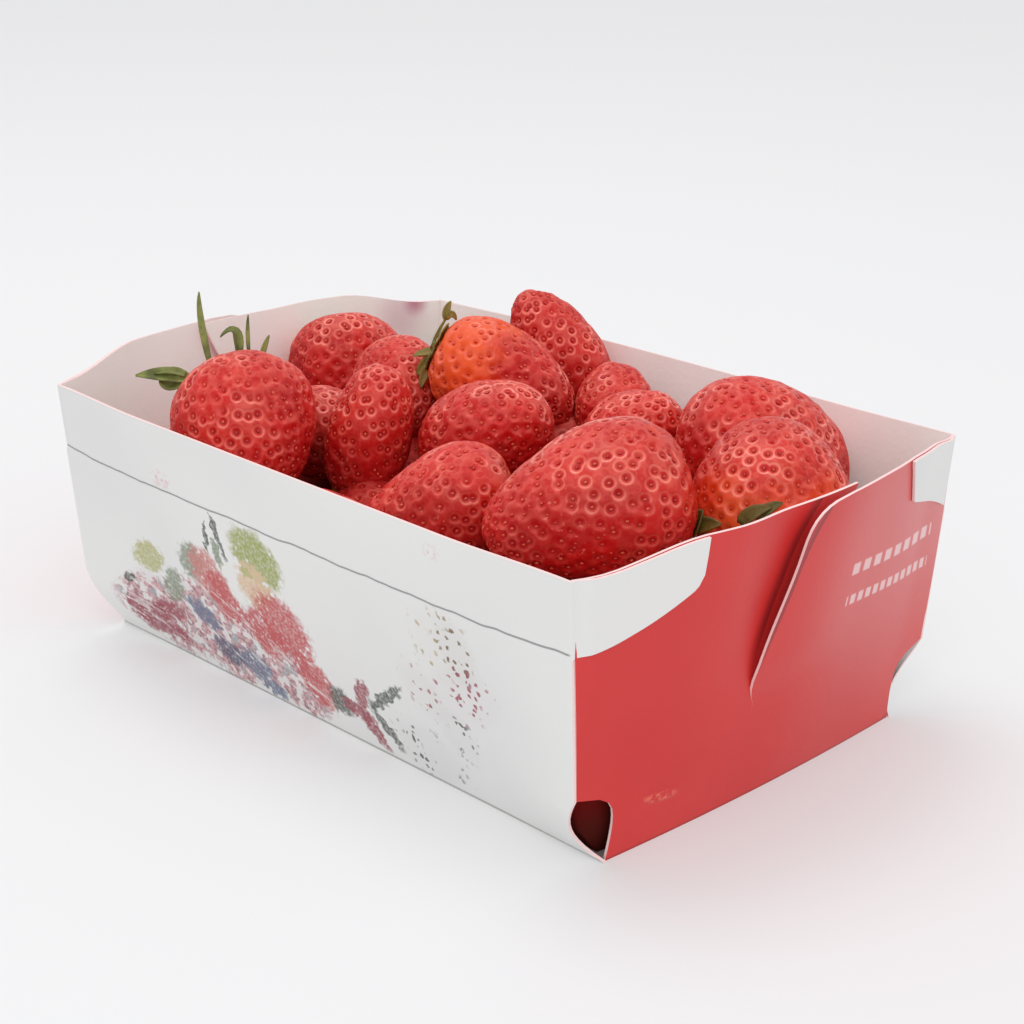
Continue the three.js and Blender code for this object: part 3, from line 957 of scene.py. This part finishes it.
def green_cap_tree(leaf):
    """The ring of pointed leaves on a berry's shoulder, and the stub of its stalk."""
    tree, given = new_tree("green_cap", {
        **SHAPE_INPUTS, "Leaves": 10, "Reach": 1.0, "Leaf width": 0.2, "Lift": 0.5, "Curl": 3.0,
        "Stalk": 5.0, "Seed": 1})
    grid = tree.node("GeometryNodeMeshGrid", {}, {
        "Size X": 1.0, "Size Y": 1.0, "Vertices X": 10, "Vertices Y": 5})["Mesh"]
    whole = tree.node("GeometryNodeGeometryToInstance", {}, {"Geometry": grid})["Instances"]
    copies = tree.node("GeometryNodeDuplicateElements", {"domain": "INSTANCE"}, {
        "Geometry": whole, "Amount": given["Leaves"]})
    numbered = store(tree, copies["Geometry"], "leaf", copies["Duplicate Index"], "INT", "INSTANCE")
    real = tree.node("GeometryNodeRealizeInstances", {}, {"Geometry": numbered})["Geometry"]
    number = stored(tree, "leaf", "INT")
    x, y, _ = tree.node("GeometryNodeInputPosition")["Position"].parts()
    along, across = x + 0.5, y * 2

    def chance(low, high, extra):
        return tree.node("FunctionNodeRandomValue", {}, {
            "Min": low, "Max": high, "ID": number, "Seed": given["Seed"] + extra})["Value"]

    outline = (along + 0.02) ** 0.5 * (1.02 - along) ** 0.8
    half = given["Leaf width"] * chance(0.8, 1.25, 1) * 1.9 * outline
    polar = 0.12 + along * given["Reach"] * chance(0.7, 1.15, 2)
    sine = polar.apply("SINE")
    angle = (number + chance(-0.3, 0.3, 3)) / given["Leaves"] * math.tau + given["Turn"]
    angle = angle + across * half / sine.apply("MAXIMUM", 0.3) + along * along * chance(-0.25, 0.25, 4)
    way = tree.vector(sine * angle.apply("COSINE"), sine * angle.apply("SINE"), -polar.apply("COSINE"))
    curl = given["Curl"] * along * along * chance(0.2, 1.2, 5)
    lift = given["Lift"] + curl + (across * across) * half * 2.5
    leaves = smoothed(tree, moved(tree, real, Position=berry_form(tree, way, given) + way * lift))
    stub = tree.node("GeometryNodeMeshCone", {}, {
        "Vertices": 8, "Side Segments": 4, "Radius Top": 1.0, "Radius Bottom": 1.3,
        "Depth": given["Stalk"]})["Mesh"]
    stub = tree.node("GeometryNodeTransform", {}, {
        "Geometry": stub, "Translation": tree.vector(0.0, 0.0, -(given["Length"] * 0.5 - 1)),
        "Rotation": (math.pi, 0.12, 0.0)})["Geometry"]
    return end_tree(tree, [painted(tree, leaves, leaf), painted(tree, stub, leaf)])


# The top layer: middle, length, width, way the tip points (degrees round from +X, and up), taper,
# how far the unripe shoulder and the green cap reach, and the piece that the berry belongs to
TOP_BERRIES = [
    ((-42.5, -37.5, 57.5), 35, 33, (-24, -31), 0.36, 0.0, 0.16, "left"),
    ((-74.5, 20, 53), 30.5, 29, (-29, -40), 0.4, 0.0, 0.16, "left"),
    ((-29, -12, 54.5), 34.5, 21, (55, 77), 0.07, 0.0, 0.2, "middle"),
    ((-22, 25.5, 61.5), 38, 27, (35, -25), 0.26, 0.75, 0.24, "middle"),
    ((-26, 50, 63), 37, 21.5, (211, 56), 0.17, 0.0, 0.25, "middle"),
    ((-7, 5, 56), 34, 26, (23, 26), 0.05, 0.0, 0.16, "middle"),
    ((16, -30.5, 52.5), 34.5, 25.5, (227, -18), 0.39, 0.0, 0.0, "right"),
    ((50, -21, 59.5), 45.5, 33, (241, -13), 0.42, 0.0, 0.0, "right"),
    ((-1.5, 43.5, 56.5), 23.5, 19.5, (128, 33), 0.15, 0.0, 0.2, "end"),
    ((19, 30.5, 56.5), 25.5, 24, (2, 36), 0.29, 0.0, 0.2, "end"),
    ((48, 39, 56.5), 44, 36, (254, 36), 0.05, 0.0, 0.2, "end"),
    ((70.5, 14, 59.5), 32.5, 33.5, (132, 60), 0.19, 0.8, 0.75, "end"),
    ((-48, 15, 55.5), 29, 22.5, (-32, -31), 0.29, 0.1, 0.16, "left"),
    ((-50, -7, 48.5), 28, 24, (90, -23), 0.19, 0.0, 0.2, "left"),
]

# The berries underneath: middle, length, width, way the tip points, taper
LOWER_BERRIES = [
    ((-70, -28, 34), 30, 27, (80, 10), 0.25),
    ((-75, -1, 32), 28, 24, (-80, 15), 0.25),
    ((-62, 43, 39), 31, 26, (-40, -10), 0.25),
    ((-34, 44, 37), 30, 27, (-15, 10), 0.2),
    ((-14, -40, 38), 31, 27, (20, 15), 0.3),
    ((2, -14, 36), 29, 25, (120, -5), 0.25),
    ((28, 3, 42), 32, 28, (-70, 20), 0.25),
    ((14, 46, 36), 28, 24, (10, 5), 0.25),
    ((-10, 38, 44), 28, 25, (60, 10), 0.2),
    ((-40, 14, 36), 29, 25, (-50, 0), 0.2),
    ((50, 9, 37), 28, 26, (140, 10), 0.25),
    ((8, 21, 37), 29, 26, (-140, 5), 0.2),
    ((-61, 21, 34), 29, 26, (100, 15), 0.25),
    ((-19, -18, 34), 28, 25, (-30, 10), 0.25),
    ((68, 40, 36), 30, 26, (-120, 15), 0.25),
    ((74, -8, 34), 28, 25, (100, -15), 0.25),
    ((68, -42, 33), 30, 27, (190, 10), 0.25),
    ((38, -44, 33), 29, 25, (170, 5), 0.25),
    ((-42, -41, 30), 28, 25, (-10, 0), 0.25),
]


def pressed(mesh):
    """Pushes a berry back inside the walls where it leans on the board."""
    count = len(mesh.vertices)
    flat = np.empty(count * 3, np.float32)
    mesh.vertices.foreach_get("co", flat)
    x, y, z = flat.reshape(-1, 3).astype(float).T
    low = 1 - smooth(z, RIM_HEIGHT - 2, RIM_HEIGHT + 2)

    def held(distance, limit):
        over = np.maximum(distance - limit + 1, 0)
        return distance - low * (over - (1 - np.exp(-over)))

    inset = BOARD + GAP
    level = np.clip(z, 0, RIM_HEIGHT)
    near = held(-y, long_wall_y(x, level, 0) - inset)
    far = held(y, long_wall_y(x, level, FAR_BOW) - inset)
    y = np.where(y < 0, -near, far)
    away = held(np.abs(x), end_wall_x(y, level) - tuck(np.sign(x) * y, level) - inset)
    x = np.sign(x) * away
    mesh.vertices.foreach_set("co", np.stack([x, y, z], 1).astype(np.float32).ravel())
    return mesh


def berry_place(at, aim):
    """The matrix that points a berry's tip along aim and puts its middle at a point."""
    round_, up = (math.radians(a) for a in aim)
    tip = Vector((math.cos(up) * math.cos(round_), math.cos(up) * math.sin(round_), math.sin(up)))
    return Matrix.Translation(at) @ tip.to_track_quat("Z", "Y").to_matrix().to_4x4()


def set_in_heap(group, settings, at, aim):
    """What a tree makes from the settings, put in its place in the heap."""
    mesh = grown(group, settings)
    mesh.transform(berry_place(at, aim))
    return pressed(mesh)


def seed_count(length, width):
    """As many seeds as the skin takes at the spacing of a berry of this size."""
    spacing = 2.2 + 0.036 * width
    area = math.pi * width * (width + length) / 2 * 0.95
    return round(area / (0.87 * spacing ** 2))


def shape_settings(length, width, taper, turn):
    return {"Length": float(length), "Width": float(width), "Taper": taper, "Turn": turn}


def berry_turn(number):
    """A berry's turn, which also picks its lumps; its cap takes the same one."""
    lower = number - len(TOP_BERRIES)
    return 1.7 * number if lower < 0 else 40 + 1.3 * lower


def strawberries(strawberry):
    """The berries of the top layer, in a few pieces, and those underneath as one."""
    groups = {}
    for number, (at, length, width, aim, taper, unripe, _, group) in enumerate(TOP_BERRIES):
        settings = shape_settings(length, width, taper, berry_turn(number))
        settings.update({
            "Seeds": seed_count(length, width), "Unripe": unripe,
            "Pit reach": 1.2 + 0.02 * width, "Pit depth": 0.5, "Stray": 1.5 / width + 0.02,
            "Detail": SMALL_BERRY_DETAIL if width < SMALL_BERRY_WIDTH else BERRY_DETAIL})
        groups.setdefault(group, []).append(set_in_heap(strawberry, settings, at, aim))
    for number, (at, length, width, aim, taper) in enumerate(LOWER_BERRIES, len(TOP_BERRIES)):
        settings = shape_settings(length, width, taper, berry_turn(number))
        settings.update({"Seeds": 110, "Pit reach": 2.2, "Detail": LOWER_BERRY_DETAIL})
        groups.setdefault("underneath", []).append(set_in_heap(strawberry, settings, at, aim))
    return [piece("berries_" + group, in_metres(joined(meshes)))
            for group, meshes in groups.items()]


def leaf_blade(base, middle, tip, width, face):
    """A pointed leaf along a bend through three points, folded a little along its middle."""
    base, middle, tip, face = (Vector(v) for v in (base, middle, tip, face))
    bend = middle * 2 - (base + tip) / 2
    rows, columns = 10, 4
    blade = bmesh.new()
    points = []
    for j in range(rows + 1):
        along = j / rows
        centre = base * (1 - along) ** 2 + bend * (2 * along * (1 - along)) + tip * along ** 2
        heading = ((bend - base) * (1 - along) + (tip - bend) * along).normalized()
        across = heading.cross(face).normalized()
        outward = across.cross(heading)
        half = width / 2 * 1.75 * (along + 0.06) ** 0.5 * (1.02 - along) ** 0.8
        for i in range(columns + 1):
            part = 2 * i / columns - 1
            aside = across * (half * part) + outward * (half * part ** 2 * 0.5)
            points.append(blade.verts.new(centre + aside))
    for j in range(rows):
        for i in range(columns):
            first = j * (columns + 1) + i
            ring = (first, first + 1, first + columns + 2, first + columns + 1)
            blade.faces.new([points[k] for k in ring])
    mesh = mesh_from("leaf", blade)
    mesh.shade_smooth()
    return mesh


# Leaves that stand away from their berries: base, middle, tip, width, and the way they face
STANDING_LEAVES = [
    ((-60.5, -34.5, 69), (-64.7, -33.6, 78.5), (-66.7, -32.5, 85.4), 1.9, (0.7, -0.6, 0.2)),
    ((-57, -28.5, 71), (-58.8, -28.2, 76.5), (-61, -31, 75.2), 2.8, (0.3, -0.3, 0.9)),
    ((-55, -27.2, 72), (-56.2, -26.4, 76.5), (-57.2, -25.4, 80.4), 1.1, (0.6, -0.7, 0.1)),
    ((-52.6, -25, 71.5), (-52.6, -24.2, 73.4), (-52.4, -23, 76), 1.6, (0.6, -0.7, 0.2)),
    ((-62.5, -39.5, 66.2), (-67.4, -42.8, 66.6), (-72.6, -47.6, 66.4), 4.8, (0.4, -0.6, 0.7)),
    ((-63, -40, 67), (-66, -41.8, 67.8), (-69.4, -44.6, 66.8), 2.4, (0.5, -0.5, 0.7)),
    ((-63, -40, 66), (-66.6, -42.6, 64.6), (-68, -43.4, 66.6), 4.2, (0.6, -0.5, 0.5)),
    ((-37.8, 16, 69), (-37.9, 18.5, 72.6), (-37.2, 20.8, 76), 0.9, (0.7, -0.6, 0.1)),
    ((-37.2, 20.4, 75), (-37.6, 20.8, 77.4), (-37.3, 22, 79.6), 2.3, (0.7, -0.6, 0.1)),
    ((-37.2, 20.4, 75.4), (-36.4, 21.4, 76.6), (-35.8, 22.4, 75), 2.0, (0.7, -0.6, 0.3)),
    ((-36.5, 16.5, 67.6), (-38.6, 15, 67.4), (-41, 12.6, 66.6), 3.0, (0.5, -0.3, 0.8)),
    ((-37, 16, 67), (-38.6, 14.2, 64.5), (-39.4, 12.6, 62), 3.2, (0.6, -0.7, 0.2)),
    ((-36.5, 15.6, 65), (-37.6, 13.6, 62.5), (-37.4, 12, 59), 3.0, (0.6, -0.7, 0.2)),
    ((65.6, -5.2, 54.5), (67, -5.8, 57.2), (68.6, -5.8, 60.2), 5.4, (-0.1, -1, 0.2)),
    ((66.6, -5.2, 55.6), (69.6, -5.9, 57.4), (73.4, -5.6, 58.4), 4.2, (0.1, -1, 0.3)),
    ((76.4, -3, 58.6), (79, -2.4, 61.6), (82.2, -0.6, 63.2), 3.6, (0.5, -0.7, 0.5)),
    ((79.6, -1.4, 60), (81.4, -0.8, 62.6), (83.4, 1.4, 64), 3.0, (0.5, -0.7, 0.5)),
]


def green_caps(leaf):
    """The berries' caps, and the leaves that stand away from them."""
    group = green_cap_tree(leaf)
    meshes = []
    for number, berry in enumerate(TOP_BERRIES + LOWER_BERRIES):
        at, length, width, aim, taper = berry[:5]
        on_top = number < len(TOP_BERRIES)
        if on_top and berry[6] == 0:
            continue
        settings = shape_settings(length, width, taper, berry_turn(number))
        settings["Seed"] = number
        if on_top:
            settings.update({"Reach": berry[6], "Curl": 6 * berry[6] ** 2, "Stalk": 2.0})
        meshes.append(set_in_heap(group, settings, at, aim))
    for spec in STANDING_LEAVES:
        mesh = leaf_blade(*spec)
        mesh.materials.append(leaf)
        meshes.append(mesh)
    made = piece("green_caps", in_metres(joined(meshes)))
    wall = made.modifiers.new("wall", "SOLIDIFY")
    wall.thickness = LEAF_THICKNESS * MM
    wall.offset = 0


# The core's rings: level, and how far inside the walls
CORE_RINGS = [(1, 1), (8, 1.4), (16, 2.5), (24, 5), (30, 8), (34, 14), (36, 24)]
CORE_SIDES = 48
CORE_SQUARENESS = 40


def core_point(angle, level, inset):
    c, s = math.cos(angle), math.sin(angle)
    square = (abs(c) ** CORE_SQUARENESS + abs(s) ** CORE_SQUARENESS) ** (-1 / CORE_SQUARENESS)
    x = (corner_x(level) - inset) * c * square
    return x, (long_wall_y(x, level, 0) - inset) * s * square, level


def shaded_core():
    """The middle of the heap, dark as painted shade, which closes the gaps between the berries."""
    core = bmesh.new()
    angles = [math.tau * k / CORE_SIDES for k in range(CORE_SIDES)]
    rings = [[core.verts.new(core_point(angle, level, inset)) for angle in angles]
             for level, inset in CORE_RINGS]
    for low, high in zip(rings, rings[1:]):
        for k in range(CORE_SIDES):
            after = (k + 1) % CORE_SIDES
            core.faces.new((low[k], low[after], high[after], high[k]))
    core.faces.new(rings[0][::-1])
    core.faces.new(rings[-1])
    mesh = mesh_from("core", core)
    mesh.materials.append(finish("core_shade", core_shade))
    mesh.shade_smooth()
    piece("shaded_core", in_metres(mesh))


# ---- camera, light and floor ----

# In metres: where the camera stands, the way it looks, and its lean in degrees
CAMERA_AT = (0.3158, -0.3091, 0.2019)
CAMERA_LOOKS = (-0.6643, 0.6632, -0.3449)
CAMERA_LEAN = -0.88
CAMERA_LENS = 70.6

# Lamps: name, place, width and power
LAMPS = [("overhead", (-0.3, 0.05, 1.1), 0.6, 2.3), ("front", (0.6, -0.7, 0.8), 0.9, 2.0)]
FLOOR_REACH = 6


def add_camera():
    data = bpy.data.cameras.new("camera")
    data.lens = CAMERA_LENS
    data.sensor_width = 36
    data.clip_start = 0.01
    camera = add_object("camera", data)
    forward = Vector(CAMERA_LOOKS).normalized()
    level = forward.cross(Vector((0, 0, 1))).normalized()
    lean = Matrix.Rotation(math.radians(CAMERA_LEAN), 3, forward)
    right = lean @ level
    up = right.cross(forward)
    turn = Matrix((right, up, -forward)).transposed().to_4x4()
    camera.matrix_world = Matrix.Translation(CAMERA_AT) @ turn
    bpy.context.scene.camera = camera


def add_lamp(name, at, size, power):
    """A round soft light that points at the tray."""
    data = bpy.data.lights.new(name, "AREA")
    data.shape = "DISK"
    data.size = size
    data.energy = power
    light = add_object(name, data)
    light.location = at
    light.rotation_euler = (-Vector(at)).to_track_quat("-Z", "Y").to_euler()


def add_surroundings():
    """An even pale sky, two lamps and a floor that looks almost white."""
    world = bpy.data.worlds.new("studio")
    world.use_nodes = True
    sky = world.node_tree.nodes["Background"].inputs
    sky["Color"].default_value = (0.95, 0.95, 0.96, 1)
    sky["Strength"].default_value = 0.9
    bpy.context.scene.world = world
    bpy.context.scene.view_settings.view_transform = "Standard"
    for lamp in LAMPS:
        add_lamp(*lamp)
    mesh = bpy.data.meshes.new("floor")
    corners = [(x * FLOOR_REACH, y * FLOOR_REACH, 0) for x, y in ((-1, -1), (1, -1), (1, 1), (-1, 1))]
    mesh.from_pydata(corners, [], [(0, 1, 2, 3)])
    floor = add_object("floor", mesh)
    mesh.materials.append(finish("floor_white", lambda tree: {
        "Base Color": srgb(203, 203, 204), "Roughness": 0.9, "Specular IOR Level": 0.1,
        "Emission Color": (1, 1, 1, 1), "Emission Strength": 0.26}))


add_camera()
add_surroundings()

board = tray()
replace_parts(board, "tray")

skin = finish("strawberry_skin", strawberry_skin)
seed = finish("strawberry_seed", strawberry_seed)
berries = strawberries(strawberry_tree(skin, seed))
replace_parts(berries[0], "berries")
shaded_core()
green_caps(finish("green_leaf", green_leaf))
